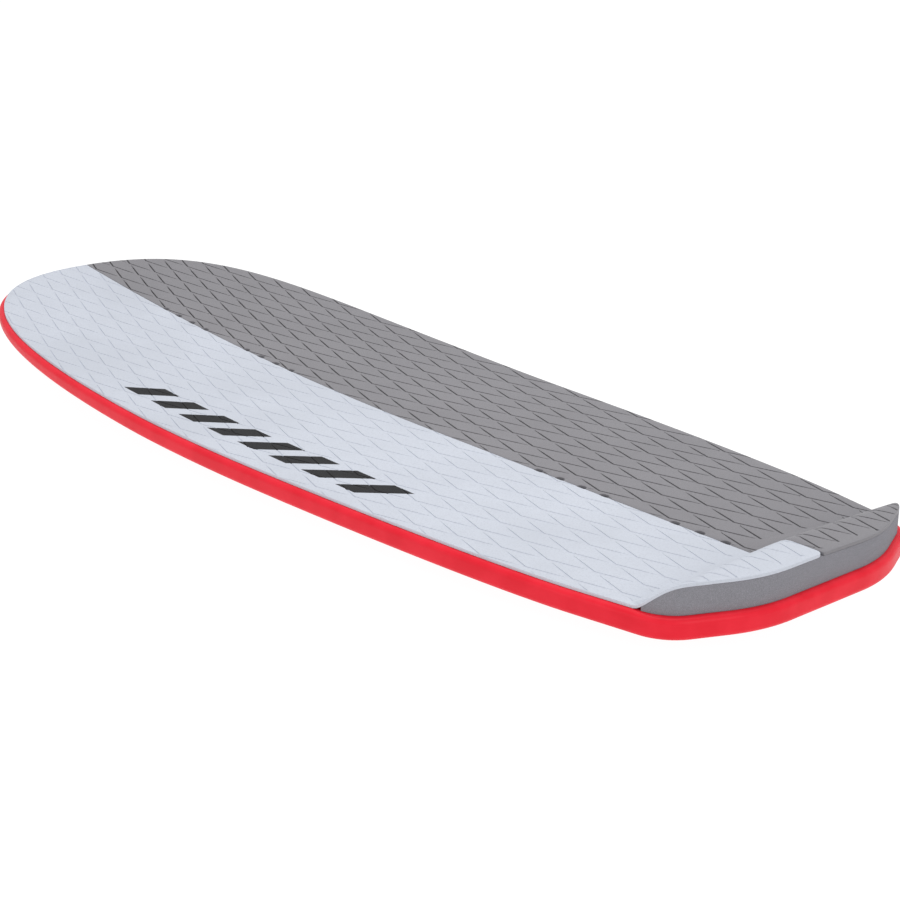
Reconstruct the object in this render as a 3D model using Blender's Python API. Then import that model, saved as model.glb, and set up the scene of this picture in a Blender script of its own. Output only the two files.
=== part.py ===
"""A short hard-shelled foil board with a full-length EVA deck pad and a raised tail kick.

The board lies flat on its bottom. +X runs from the nose to the tail, +Y to the grey half of
the deck, +Z up, in metres, with the origin under the middle of the board on the floor.
"""

import math

import bmesh
import bpy
from mathutils import Vector, geometry

# ---------------------------------------------------------------- driving dimensions (metres)
GAP = 0.0003                # clearance between pieces that touch
CUT_CLEAR = 0.004           # how far a cutter runs past the surface that it opens

BOARD_LENGTH = 1.270
RAIL_LIP = 0.007            # how far the rail stands outside the deck pad
PAD_LENGTH = BOARD_LENGTH - 2 * RAIL_LIP
PAD_HALF_WIDTH = 0.2202
PAD_NOSE_X = -PAD_LENGTH / 2
PAD_TAIL_X = PAD_LENGTH / 2

# deck pad outline, as distances from the pad's nose and centre line
WIDEST_FROM_NOSE = 0.4917
NOSE_BLUNTNESS = 0.1854     # sideways pull of the nose curve
NOSE_REACH = 0.361         # forward pull of the widest point
FLANK_REACH = 0.0972
SHOULDER_FROM_NOSE = 1.134
SHOULDER_HALF_WIDTH = 0.1748
SHOULDER_PULL = 0.1403
SHOULDER_SLOPE = 0.2004
CORNER_FROM_NOSE = 1.2191   # where the flank would meet the cut corner
CORNER_HALF_WIDTH = 0.1578
CORNER_RADIUS = 0.0441
TAIL_HALF_WIDTH = 0.0783    # where the cut corner would meet the tail edge
TAIL_RADIUS = 0.1425

HULL_DEPTH = 0.038          # flat bottom to deck, at the tail
RAIL_DEPTH_TAIL = 0.0206    # deck to the rail's lower edge
RAIL_DEPTH_LOSS = 0.0081     # the rail is this much thinner at the nose
RAIL_RADIUS = 0.006
RAIL_UNDERCUT_TURN = 78.0   # degrees that the lower rail edge turns before the chine
CHINE_WIDTH = 0.072         # bevel between the rail and the flat bottom
DECK_ROCKER_X, DECK_ROCKER = 0.0972, 0.0861
BOTTOM_ROCKER_X, BOTTOM_ROCKER, BOTTOM_ROCKER_POWER = 0.020, 0.130, 1.6

SKIN = 0.0035               # sandwich skin of the shell and of the deck panel
DECK_LIP = 0.012            # the shell's flange under the edge of the pad
STRINGER_WIDTH = 0.006

PAD_SHEET = 0.003
PAD_NOSE_TIP = 0.008        # half width of the pad's blunt tip
SEAM_SKEW = -0.0065         # sideways drift of the seam between the two sheets, along the board
KICK_FOOT_X = 0.5500
KICK_CREST_X = 0.5915
KICK_HEIGHT = 0.0253        # crest above the flat of the pad
KICK_FOOT_POWER = 1.5      # how softly the kick rises from the flat
KICK_STATION_STEP = 0.006
WEDGE_THIN_EDGE = 0.001

TRACK_SPACING = 0.090       # centre to centre
TRACK_X = 0.275
TRACK_LENGTH, TRACK_WIDTH, TRACK_DEPTH = 0.255, 0.024, 0.024
MOUTH_LENGTH, MOUTH_WIDTH = 0.226, 0.0096
CHANNEL_LENGTH, CHANNEL_WIDTH = 0.230, 0.0166
CHANNEL_LOW, CHANNEL_HIGH = 0.006, 0.0145
BOLT_RELIEF_HIGH = 0.020
ENTRY_LENGTH = 0.026        # wide window where a nut drops into the channel
ENTRY_STEP = 0.001          # the window's cut ends this far below the channel's roof
BLOCK_LENGTH, BLOCK_WIDTH = 0.300, 0.052

NUT_PITCH = 0.165           # front to rear bolt spacing
NUT_LENGTH, NUT_WIDTH = 0.022, 0.0158
NUT_PLATE, NUT_BOSS, NUT_BOSS_WIDTH = 0.0055, 0.0028, 0.0088
NUT_BORE_RADIUS = 0.0034

VENT_X, VENT_Y = 0.150, 0.110
VENT_RADIUS, VENT_HEIGHT = 0.011, 0.014
VENT_MOUTH_RADIUS, VENT_SEAT_Z = 0.0066, 0.0065
VENT_BORE_RADIUS, VENT_CHAMBER_Z, VENT_CHAMBER_RADIUS = 0.0033, 0.0095, 0.0048
SCREW_HEAD_RADIUS, SCREW_HEAD_LOW, SCREW_HEAD_HIGH = 0.0060, 0.0015, 0.0045
SCREW_SHANK_RADIUS, SCREW_TIP_Z = 0.0030, 0.0090
SEAL_INNER_RADIUS, SEAL_OUTER_RADIUS = 0.0033, 0.0049
MEMBRANE_THICKNESS = 0.0011
SCREW_SLOT_WIDTH, SCREW_SLOT_DEPTH, SCREW_CHAMFER = 0.0012, 0.0012, 0.0008


# ---------------------------------------------------------------- scene helpers
def clear_scene():
    for obj in list(bpy.data.objects):
        bpy.data.objects.remove(obj, do_unlink=True)


def finish_material(name, colour, roughness, metallic=0.0):
    material = bpy.data.materials.new(name)
    material.use_nodes = True
    shader = material.node_tree.nodes["Principled BSDF"]
    shader.inputs["Base Color"].default_value = (*colour, 1.0)
    shader.inputs["Roughness"].default_value = roughness
    shader.inputs["Metallic"].default_value = metallic
    return material


def add_object(name, bm, material, location=(0.0, 0.0, 0.0), smooth_below=None):
    """Turn a bmesh into an object with outward faces, shaded smooth below an edge angle."""
    bmesh.ops.recalc_face_normals(bm, faces=bm.faces)
    mesh = bpy.data.meshes.new(name)
    bm.to_mesh(mesh)
    bm.free()
    mesh.materials.append(material)
    if smooth_below:
        mesh.shade_smooth()
        mesh.set_sharp_from_angle(angle=math.radians(smooth_below))
    obj = bpy.data.objects.new(name, mesh)
    obj.location = location
    bpy.context.collection.objects.link(obj)
    return obj


def cut(obj, cutter):
    """Subtract a cutter, which stays in the file as a hidden wire guide."""
    cutter.hide_render = True
    cutter.display_type = 'WIRE'
    modifier = obj.modifiers.new("cut_" + cutter.name, 'BOOLEAN')
    modifier.operation = 'DIFFERENCE'
    modifier.solver = 'EXACT'
    modifier.object = cutter


# ---------------------------------------------------------------- heights of the board
def deck_z(x):
    return HULL_DEPTH + DECK_ROCKER * max(DECK_ROCKER_X - x, 0.0) ** 2


def bottom_z(x):
    return BOTTOM_ROCKER * max(BOTTOM_ROCKER_X - x, 0.0) ** BOTTOM_ROCKER_POWER


def rail_depth(x):
    from_tail = (BOARD_LENGTH / 2 - x) / BOARD_LENGTH
    return RAIL_DEPTH_TAIL - RAIL_DEPTH_LOSS * from_tail ** 3


def kick_height(x):
    """Height of the pad's top over its flat, along the tail kick."""
    along = min(max((x - KICK_FOOT_X) / (KICK_CREST_X - KICK_FOOT_X), 0.0), 1.0)
    return KICK_HEIGHT * math.sin(math.pi / 2 * along) ** KICK_FOOT_POWER


# ---------------------------------------------------------------- plan outline
def rounded_corner(before, corner, after, radius, count):
    """Arc of the given radius that rounds a corner between two straight directions."""
    back = (Vector(before) - Vector(corner)).normalized()
    ahead = (Vector(after) - Vector(corner)).normalized()
    half = back.angle(ahead) / 2
    reach = radius / math.tan(half)
    centre = Vector(corner) + (back + ahead).normalized() * radius / math.sin(half)
    start = Vector(corner) + back * reach - centre
    end = Vector(corner) + ahead * reach - centre
    sweep = start.angle_signed(end)
    points = []
    for i in range(count + 1):
        turn = -sweep * i / count
        points.append((centre.x + start.x * math.cos(turn) - start.y * math.sin(turn),
                       centre.y + start.x * math.sin(turn) + start.y * math.cos(turn)))
    return points


def curve(points, handles_out, handles_in, count):
    ends = [Vector((*p, 0.0)) for p in (points[0], handles_out, handles_in, points[1])]
    return [(p.x, p.y) for p in geometry.interpolate_bezier(*ends, count)]


def pad_half_outline():
    """Starboard half of the pad's outline, from the nose to the corner of the tail edge."""
    x0 = PAD_NOSE_X
    widest = (x0 + WIDEST_FROM_NOSE, PAD_HALF_WIDTH)
    shoulder = (x0 + SHOULDER_FROM_NOSE, SHOULDER_HALF_WIDTH)
    nose = curve(((x0, 0.0), widest), (x0, NOSE_BLUNTNESS),
                 (widest[0] - NOSE_REACH, PAD_HALF_WIDTH), 18)
    flank = curve((widest, shoulder), (widest[0] + FLANK_REACH, PAD_HALF_WIDTH),
                  (shoulder[0] - SHOULDER_PULL, shoulder[1] + SHOULDER_SLOPE * SHOULDER_PULL), 14)
    corner = (x0 + CORNER_FROM_NOSE, CORNER_HALF_WIDTH)
    tail = (PAD_TAIL_X, TAIL_HALF_WIDTH)
    cut_corner = rounded_corner(shoulder, corner, tail, CORNER_RADIUS, 6)
    tail_corner = rounded_corner(corner, tail, (PAD_TAIL_X, 0.0), TAIL_RADIUS, 5)
    return nose + flank[1:] + cut_corner + tail_corner


def offset_half(half, distance):
    """Half outline moved outward (or inward where the distance is negative)."""
    moved = []
    mirrored = [(half[1][0], -half[1][1])] + half + [(half[-1][0], -half[-1][1])]
    for before, here, after in zip(mirrored, mirrored[1:], mirrored[2:]):
        along = (Vector(after) - Vector(before)).normalized()
        moved.append((here[0] - along.y * distance, max(here[1] + along.x * distance, 0.0)))
    return moved


def shrunk_half(half, distance):
    """Half outline scaled towards the board's centre by the same distance at each end."""
    across = 1 - distance / (PAD_HALF_WIDTH + RAIL_LIP)
    along = 1 - distance / (BOARD_LENGTH / 2)
    return [(x * along, y * across) for x, y in half]


# ---------------------------------------------------------------- lofted shapes
def ring(bm, half, height):
    """A closed loop of vertices around the board, at a height that depends on x."""
    starboard = [bm.verts.new((x, y, height(x))) for x, y in half]
    port = [bm.verts.new((x, -y, height(x))) for x, y in half[1:]]
    return starboard, [starboard[0]] + port


def join_rings(bm, first, second):
    """Faces between two rings, each given as its starboard and port halves."""
    for a, b in zip(first, second):
        for i in range(len(a) - 1):
            bm.faces.new((a[i], a[i + 1], b[i + 1], b[i]))
    (a, port_a), (b, port_b) = first, second
    bm.faces.new((a[-1], port_a[-1], port_b[-1], b[-1]))


def cap_ring(bm, loop):
    """Strips across the board that close a ring."""
    starboard, port = loop
    bm.faces.new((starboard[0], starboard[1], port[1]))
    for i in range(1, len(starboard) - 1):
        bm.faces.new((starboard[i], starboard[i + 1], port[i + 1], port[i]))


def hull_section(half, inset):
    """Rings of the hull from the deck's edge, round the rail, to the flat bottom.

    inset is how far the surface lies inside the outside of the hull.
    """
    radius = RAIL_RADIUS - inset
    side = RAIL_LIP - inset
    top, low = [], []
    for i in range(5):
        turn = math.pi / 2 * i / 4
        top.append((side - radius * (1 - math.sin(turn)), inset + radius * (1 - math.cos(turn))))
    for i in range(4):
        turn = math.radians(RAIL_UNDERCUT_TURN) * i / 3
        low.append((side - radius * (1 - math.cos(turn)), radius * (1 - math.sin(turn)) + inset))
    rings = [(offset_half(half, out), lambda x, d=down: deck_z(x) - d) for out, down in top]
    rings += [(offset_half(half, out), lambda x, u=up: deck_z(x) - rail_depth(x) + u)
              for out, up in low]
    rings.append((shrunk_half(half, CHINE_WIDTH + inset), lambda x: bottom_z(x) + inset))
    return rings


def make_hull_shell(half, material):
    bm = bmesh.new()
    lip = offset_half(half, -DECK_LIP)
    outside = [ring(bm, *r) for r in [(lip, deck_z)] + hull_section(half, 0.0)]
    inside = [ring(bm, *r)
              for r in [(lip, lambda x: deck_z(x) - SKIN)] + hull_section(half, SKIN)]
    for skin in (outside, inside):
        for first, second in zip(skin, skin[1:]):
            join_rings(bm, first, second)
        cap_ring(bm, skin[-1])
    join_rings(bm, outside[0], inside[0])
    return add_object("hull_shell", bm, material, smooth_below=40)


def make_deck_panel(half, material):
    bm = bmesh.new()
    edge = offset_half(half, -DECK_LIP - GAP)
    top = ring(bm, edge, deck_z)
    underside = ring(bm, edge, lambda x: deck_z(x) - SKIN)
    join_rings(bm, top, underside)
    cap_ring(bm, top)
    cap_ring(bm, underside)
    return add_object("deck_panel", bm, material)


def make_core_piece(name, half, low_y, high_y, material):
    """The part of the foam-filled inside that lies between two lengthwise planes."""
    bm = bmesh.new()
    rings = [ring(bm, *r) for r in hull_section(half, SKIN + GAP)]
    for first, second in zip(rings, rings[1:]):
        join_rings(bm, first, second)
    cap_ring(bm, rings[0])
    cap_ring(bm, rings[-1])
    bmesh.ops.recalc_face_normals(bm, faces=bm.faces)
    for y, outward in ((low_y, -1), (high_y, 1)):
        if abs(y) < BOARD_LENGTH:
            everything = bm.verts[:] + bm.edges[:] + bm.faces[:]
            bmesh.ops.bisect_plane(bm, geom=everything, plane_co=(0.0, y, 0.0),
                                   plane_no=(0.0, outward, 0.0), clear_outer=True, dist=1e-6)
            open_edges = [e for e in bm.edges if e.is_boundary]
            bmesh.ops.holes_fill(bm, edges=open_edges, sides=0)
    return add_object(name, bm, material)


def strip_body(bm, stations):
    """Closed body from cross-sections that each list the same number of points."""
    loops = [[bm.verts.new(p) for p in station] for station in stations]
    count = len(loops[0])
    for a, b in zip(loops, loops[1:]):
        for i in range(count):
            j = (i + 1) % count
            bm.faces.new((a[i], a[j], b[j], b[i]))
    bm.faces.new(loops[0])
    bm.faces.new(loops[-1])


# ---------------------------------------------------------------- deck pad and kick
def pad_stations(half):
    """Where the pad's cross-sections lie: the outline's points, closer along the kick."""
    stations = []
    for (x, y), (next_x, next_y) in zip(half, half[1:]):
        stations.append((x, y))
        on_kick = next_x > KICK_FOOT_X - 2 * KICK_STATION_STEP
        extra = max(int((next_x - x) / KICK_STATION_STEP), 0) if on_kick else 0
        for i in range(1, extra + 1):
            share = i / (extra + 1)
            stations.append((x + (next_x - x) * share, y + (next_y - y) * share))
    stations.append(half[-1])
    return stations


def pad_top_z(x):
    return deck_z(x) + GAP + PAD_SHEET + kick_height(x)


def make_pad(name, half, side, material):
    """One half of the deck pad: a sheet from the seam out to the rail."""
    bm = bmesh.new()
    stations = []
    for x, y in pad_stations(half):
        outer, inner = side * max(y, PAD_NOSE_TIP), SEAM_SKEW * x + side * GAP / 2
        top, low = pad_top_z(x), pad_top_z(x) - PAD_SHEET
        stations.append([(x, inner, low), (x, outer, low), (x, outer, top), (x, inner, top)])
    strip_body(bm, stations)
    return add_object(name, bm, material, smooth_below=30)


def make_kick_wedge(half, material):
    """The wedge that holds the pad up at the tail, cut to the pad's outline."""
    bm = bmesh.new()
    stations = []
    for x, y in pad_stations(half):
        top = pad_top_z(x) - PAD_SHEET - GAP
        low = deck_z(x) + GAP
        if top - low > WEDGE_THIN_EDGE:
            stations.append([(x, -y, low), (x, y, low), (x, y, top), (x, -y, top)])
    strip_body(bm, stations)
    return add_object("kick_wedge", bm, material, smooth_below=30)


# ---------------------------------------------------------------- foil tracks
def box(bm, low, high):
    corners = [Vector((x, y, z)) for x in (low[0], high[0]) for y in (low[1], high[1])
               for z in (low[2], high[2])]
    made = bmesh.ops.convex_hull(bm, input=[bm.verts.new(c) for c in corners])
    bmesh.ops.delete(bm, geom=made["geom_interior"], context='VERTS')


def stadium(bm, length, width, low, high, steps=6):
    """Upright slab with round ends, long in x."""
    outline = []
    for end in (1, -1):
        for i in range(steps + 1):
            turn = math.pi * (i / steps - 0.5)
            outline.append((end * (length / 2 - width / 2 + width / 2 * math.cos(turn)),
                            end * width / 2 * math.sin(turn)))
    floor = [bm.verts.new((x, y, low)) for x, y in outline]
    roof = [bm.verts.new((x, y, high)) for x, y in outline]
    bm.faces.new(floor)
    bm.faces.new(roof)
    for i in range(len(outline)):
        j = (i + 1) % len(outline)
        bm.faces.new((floor[i], floor[j], roof[j], roof[i]))


def make_track(side_name, y, material, guide):
    """Moulded track, flush with the bottom, with a T-shaped channel and a nut entry."""
    name = "track_" + side_name
    place = (TRACK_X, y, 0.0)
    bm = bmesh.new()
    stadium(bm, TRACK_LENGTH, TRACK_WIDTH, 0.0, TRACK_DEPTH)
    track = add_object(name, bm, material, place, smooth_below=40)
    slots = {
        "mouth": (MOUTH_LENGTH, MOUTH_WIDTH, -CUT_CLEAR, BOLT_RELIEF_HIGH),
        "channel": (CHANNEL_LENGTH, CHANNEL_WIDTH, CHANNEL_LOW, CHANNEL_HIGH),
        "entry": (ENTRY_LENGTH, CHANNEL_WIDTH, -CUT_CLEAR, CHANNEL_HIGH - ENTRY_STEP),
    }
    for slot, (length, width, low, high) in slots.items():
        bm = bmesh.new()
        if slot == "mouth":
            stadium(bm, length, width, low, high)
        else:
            box(bm, (-length / 2, -width / 2, low), (length / 2, width / 2, high))
        cut(track, add_object("cutter_" + name + "_" + slot, bm, guide, place))
    return track


def make_track_block(side_name, y, material, guide):
    """High-density foam from skin to skin, pocketed for the track."""
    inset = SKIN + GAP
    bm = bmesh.new()
    box(bm, (-BLOCK_LENGTH / 2, -BLOCK_WIDTH / 2, inset),
        (BLOCK_LENGTH / 2, BLOCK_WIDTH / 2, HULL_DEPTH - inset))
    block = add_object("track_block_" + side_name, bm, material, (TRACK_X, y, 0.0))
    cut(block, track_pocket("block_" + side_name, y, guide))
    return block


def track_pocket(owner, y, guide):
    bm = bmesh.new()
    stadium(bm, TRACK_LENGTH + 2 * GAP, TRACK_WIDTH + 2 * GAP, -CUT_CLEAR, TRACK_DEPTH + GAP)
    return add_object("cutter_pocket_" + owner, bm, guide, (TRACK_X, y, 0.0))


def block_pocket(owner, y, guide):
    bm = bmesh.new()
    reach = BLOCK_LENGTH / 2 + GAP
    width = BLOCK_WIDTH / 2 + GAP
    box(bm, (-reach, -width, -CUT_CLEAR), (reach, width, HULL_DEPTH + CUT_CLEAR))
    return add_object("cutter_block_" + owner, bm, guide, (TRACK_X, y, 0.0))


def make_track_nut(side_name, end_name, x, y, material, guide):
    """T-shaped M8 nut: a plate captured by the channel and a boss in the mouth."""
    name = "track_nut_%s_%s" % (side_name, end_name)
    half_length, half_width, half_boss = NUT_LENGTH / 2, NUT_WIDTH / 2, NUT_BOSS_WIDTH / 2
    low, high = -NUT_BOSS, NUT_PLATE
    profile = [(-half_boss, low), (half_boss, low), (half_boss, 0.0), (half_width, 0.0),
               (half_width, high), (-half_width, high), (-half_width, 0.0), (-half_boss, 0.0)]
    bm = bmesh.new()
    strip_body(bm, [[(end * half_length, py, pz) for py, pz in profile] for end in (-1, 1)])
    place = (x, y, CHANNEL_LOW + GAP)
    nut = add_object(name, bm, material, place)
    bm = bmesh.new()
    bmesh.ops.create_cone(bm, cap_ends=True, segments=20, radius1=NUT_BORE_RADIUS,
                          radius2=NUT_BORE_RADIUS, depth=4 * (NUT_PLATE + NUT_BOSS))
    cut(nut, add_object("cutter_" + name, bm, guide, place))
    return nut


# ---------------------------------------------------------------- vent
def turned(name, profile, material, location, segments=24):
    """Body of revolution about Z from a closed profile of (radius, height) points."""
    bm = bmesh.new()
    loops = []
    for radius, z in profile:
        if radius == 0.0:
            loops.append([bm.verts.new((0.0, 0.0, z))] * segments)
        else:
            loops.append([bm.verts.new((radius * math.cos(math.tau * i / segments),
                                        radius * math.sin(math.tau * i / segments), z))
                          for i in range(segments)])
    closed = profile[0][0] > 0.0
    pairs = list(zip(loops, loops[1:])) + ([(loops[-1], loops[0])] if closed else [])
    for a, b in pairs:
        for i in range(segments):
            j = (i + 1) % segments
            corners = list(dict.fromkeys((a[i], a[j], b[j], b[i])))
            bm.faces.new(corners)
    return add_object(name, bm, material, location, smooth_below=35)


def make_vent(materials, guide):
    place = (VENT_X, VENT_Y, 0.0)
    turned("vent_body", [
        (VENT_MOUTH_RADIUS, 0.0), (VENT_RADIUS, 0.0), (VENT_RADIUS, VENT_HEIGHT),
        (VENT_CHAMBER_RADIUS, VENT_HEIGHT), (VENT_CHAMBER_RADIUS, VENT_CHAMBER_Z),
        (VENT_BORE_RADIUS, VENT_CHAMBER_Z), (VENT_BORE_RADIUS, VENT_SEAT_Z),
        (VENT_MOUTH_RADIUS, VENT_SEAT_Z)], materials["moulded"], place)
    membrane_top = VENT_CHAMBER_Z + GAP + MEMBRANE_THICKNESS
    turned("vent_membrane", [
        (0.0, VENT_CHAMBER_Z + GAP), (VENT_CHAMBER_RADIUS - GAP, VENT_CHAMBER_Z + GAP),
        (VENT_CHAMBER_RADIUS - GAP, membrane_top), (0.0, membrane_top)],
        materials["membrane"], place)
    seal_low, seal_high = SCREW_HEAD_HIGH + GAP, VENT_SEAT_Z - GAP
    section = (seal_high - seal_low) / 2
    centre = (SEAL_INNER_RADIUS + SEAL_OUTER_RADIUS) / 2
    turned("vent_seal", [
        (centre + (SEAL_OUTER_RADIUS - centre) * math.cos(math.tau * i / 10),
         seal_low + section + section * math.sin(math.tau * i / 10)) for i in range(10)],
        materials["rubber"], place)
    screw = turned("vent_screw", [
        (0.0, SCREW_HEAD_LOW), (SCREW_HEAD_RADIUS - SCREW_CHAMFER, SCREW_HEAD_LOW),
        (SCREW_HEAD_RADIUS, SCREW_HEAD_LOW + SCREW_CHAMFER), (SCREW_HEAD_RADIUS, SCREW_HEAD_HIGH),
        (SCREW_SHANK_RADIUS, SCREW_HEAD_HIGH), (SCREW_SHANK_RADIUS, SCREW_TIP_Z),
        (0.0, SCREW_TIP_Z)], materials["steel"], place)
    bm = bmesh.new()
    box(bm, (-SCREW_HEAD_RADIUS, -SCREW_SLOT_WIDTH / 2, 0.0),
        (SCREW_HEAD_RADIUS, SCREW_SLOT_WIDTH / 2, SCREW_HEAD_LOW + SCREW_SLOT_DEPTH))
    cut(screw, add_object("cutter_screw_slot", bm, guide, place))


def vent_pocket(owner, guide):
    bm = bmesh.new()
    bmesh.ops.create_cone(bm, cap_ends=True, segments=24, radius1=VENT_RADIUS + GAP,
                          radius2=VENT_RADIUS + GAP, depth=2 * (VENT_HEIGHT + GAP))
    return add_object("cutter_vent_" + owner, bm, guide, (VENT_X, VENT_Y, 0.0))


# ---------------------------------------------------------------- the board
def main():
    clear_scene()
    materials = {
        "red": finish_material("red_paint", (0.80, 0.030, 0.045), 0.35),
        "laminate": finish_material("deck_laminate", (0.55, 0.52, 0.42), 0.5),
        "foam": finish_material("core_foam", (0.88, 0.88, 0.86), 0.9),
        "dense_foam": finish_material("dense_foam", (0.55, 0.60, 0.35), 0.85),
        "wood": finish_material("stringer_wood", (0.62, 0.45, 0.26), 0.6),
        "white_eva": finish_material("white_eva", (0.66, 0.70, 0.78), 0.75),
        "grey_eva": finish_material("grey_eva", (0.25, 0.25, 0.27), 0.8),
        "moulded": finish_material("moulded_black", (0.03, 0.03, 0.035), 0.45),
        "steel": finish_material("stainless", (0.60, 0.60, 0.60), 0.35, 1.0),
        "rubber": finish_material("seal_rubber", (0.02, 0.02, 0.02), 0.7),
        "membrane": finish_material("membrane", (0.80, 0.80, 0.80), 0.9),
        "guide": finish_material("guide", (1.0, 0.4, 0.0), 0.5),
    }
    guide = materials["guide"]
    half = pad_half_outline()
    sides = {"port": -TRACK_SPACING / 2, "starboard": TRACK_SPACING / 2}

    shell = make_hull_shell(half, materials["red"])
    make_deck_panel(half, materials["laminate"])
    half_stringer = STRINGER_WIDTH / 2
    make_core_piece("stringer", half, -half_stringer, half_stringer, materials["wood"])
    make_pad("pad_white", half, -1, materials["white_eva"])
    make_pad("pad_grey", half, 1, materials["grey_eva"])
    make_kick_wedge(half, materials["grey_eva"])

    for side_name, y in sides.items():
        inner, beyond = math.copysign(half_stringer + GAP, y), math.copysign(BOARD_LENGTH, y)
        core = make_core_piece("core_" + side_name, half, min(inner, beyond),
                               max(inner, beyond), materials["foam"])
        cut(core, block_pocket(side_name, y, guide))
        if side_name == "starboard":
            cut(core, vent_pocket("core", guide))
        cut(shell, track_pocket("shell_" + side_name, y, guide))
        make_track(side_name, y, materials["moulded"], guide)
        make_track_block(side_name, y, materials["dense_foam"], guide)
        for end_name, end in (("front", -1), ("rear", 1)):
            make_track_nut(side_name, end_name, TRACK_X + end * NUT_PITCH / 2, y,
                           materials["steel"], guide)
    cut(shell, vent_pocket("shell", guide))
    make_vent(materials, guide)


main()
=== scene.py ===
"""A short hard-shelled foil board: satin red hull, grooved EVA deck pad in two halves, raised
tail kick.

The board's own CAD gives every place and size. +X runs from the nose to the tail, +Y to the
grey half of the deck, +Z up, in metres.
"""

import math

import bmesh
import bpy
import numpy as np
from mathutils import Matrix, Vector, geometry


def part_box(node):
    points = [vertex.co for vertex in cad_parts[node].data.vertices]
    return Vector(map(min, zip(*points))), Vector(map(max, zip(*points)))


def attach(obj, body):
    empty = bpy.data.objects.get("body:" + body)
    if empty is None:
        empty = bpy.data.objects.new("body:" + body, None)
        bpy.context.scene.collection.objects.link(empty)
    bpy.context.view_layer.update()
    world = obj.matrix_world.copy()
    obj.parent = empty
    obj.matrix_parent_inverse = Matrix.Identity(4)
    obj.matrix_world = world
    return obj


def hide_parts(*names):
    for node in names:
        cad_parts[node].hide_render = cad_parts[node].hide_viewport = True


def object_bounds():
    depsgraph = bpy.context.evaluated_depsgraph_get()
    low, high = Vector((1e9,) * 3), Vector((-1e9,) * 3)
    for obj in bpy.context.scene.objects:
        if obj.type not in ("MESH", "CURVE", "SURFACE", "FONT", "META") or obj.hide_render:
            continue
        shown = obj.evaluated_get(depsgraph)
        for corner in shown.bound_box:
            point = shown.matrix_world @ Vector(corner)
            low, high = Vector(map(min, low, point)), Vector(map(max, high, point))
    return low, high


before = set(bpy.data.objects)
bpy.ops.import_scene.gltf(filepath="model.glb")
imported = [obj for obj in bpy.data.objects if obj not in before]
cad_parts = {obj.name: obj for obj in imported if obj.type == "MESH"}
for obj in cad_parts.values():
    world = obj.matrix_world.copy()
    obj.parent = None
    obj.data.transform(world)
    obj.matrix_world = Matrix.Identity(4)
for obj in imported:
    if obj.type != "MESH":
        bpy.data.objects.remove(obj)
frame_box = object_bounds()

# ---------------------------------------------------------------- sizes read from the frame
pad_low, pad_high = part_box("pad_grey")
PAD_NOSE_X, PAD_TAIL_X = pad_low.x, pad_high.x
PAD_HALF_WIDTH = pad_high.y
BOARD_HALF_LENGTH = frame_box[1][0]
RAIL_LIP = BOARD_HALF_LENGTH - PAD_TAIL_X

# ---------------------------------------------------------------- sizes of the board
GAP = 0.0003
HULL_DEPTH = 0.038
DECK_ROCKER_X, DECK_ROCKER = 0.0972, 0.0861
BOTTOM_ROCKER_X, BOTTOM_ROCKER, BOTTOM_ROCKER_POWER = 0.020, 0.130, 1.6
RAIL_DEPTH_TAIL, RAIL_DEPTH_LOSS = 0.0206, 0.0081
RAIL_RADIUS, CHINE_WIDTH = 0.006, 0.072
RAIL_UNDERCUT_TURN = 78.0
DECK_LIP, SKIN = 0.012, 0.0035

# pad outline, as distances from the pad's nose and centre line
WIDEST_FROM_NOSE, NOSE_BLUNTNESS, NOSE_REACH = 0.4917, 0.1854, 0.361
FLANK_REACH = 0.0972
SHOULDER_FROM_NOSE, SHOULDER_HALF_WIDTH = 1.134, 0.1748
SHOULDER_PULL, SHOULDER_SLOPE = 0.1403, 0.2004
CORNER_FROM_NOSE, CORNER_HALF_WIDTH, CORNER_RADIUS = 1.2191, 0.1578, 0.0441
TAIL_HALF_WIDTH, TAIL_RADIUS = 0.0783, 0.1425

NOSE_DRAW, NOSE_DRAW_FROM = 0.0055, -0.53       # how far the pad's nose reaches over the rail
PAD_SHEET = 0.003
KICK_FOOT_X, KICK_CREST_X = 0.5520, 0.5932      # on the centre line
KICK_FOOT_CURVE, KICK_FOOT_SKEW = 0.20, -0.028  # the foot line bows aft towards the rails
KICK_HEIGHT, KICK_FOOT_POWER = 0.0253, 1.5
KICK_STARBOARD_LOSS = 0.030     # height lost per metre to starboard of the centre line
FOOT_SEARCH = 0.01              # the foot line lies at most this far ahead of its middle

# deck grooves: bends on a diamond lattice, each with one arm to the nose and one to the tail
GROOVE_PITCH = 0.02571      # across the board, between neighbouring bends
GROOVE_REACH = 0.04605      # along the pad's top, from one row of bends to the next
GROOVE_START_X = 0.4917     # the row that the others are counted from
GROOVE_SHIFT = 0.8336       # of a pitch, from the centre line to a bend in that row
GROOVE_SKEW = -0.0125       # sideways drift of the whole pattern along the board
ARM_TO_NOSE, ARM_TO_TAIL = 0.80, 0.84    # how much of the way to the next bend an arm runs
GREY_CUT, WHITE_CUT = (0.0021, 0.0018), (0.0014, 0.0006)    # width and depth
GROOVE_FLOOR = 0.55         # the flat floor's share of the groove's width
GROOVE_SLACK = 0.04         # a wall starts and ends this share of the half width inside its lines
BEND_OVERLAP = 0.02         # an arm's floor starts this share of its length behind the bend
GROOVE_RIM = 0.0009         # the cuts stop this far inside the pad's edge
GROOVE_END_MARGIN = 0.009   # and this far before the aft edge of the kick
ARM_STEPS, ARM_TAPER_STEPS, ARM_TIP_SHARE = 6, 1.6, 0.5

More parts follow.
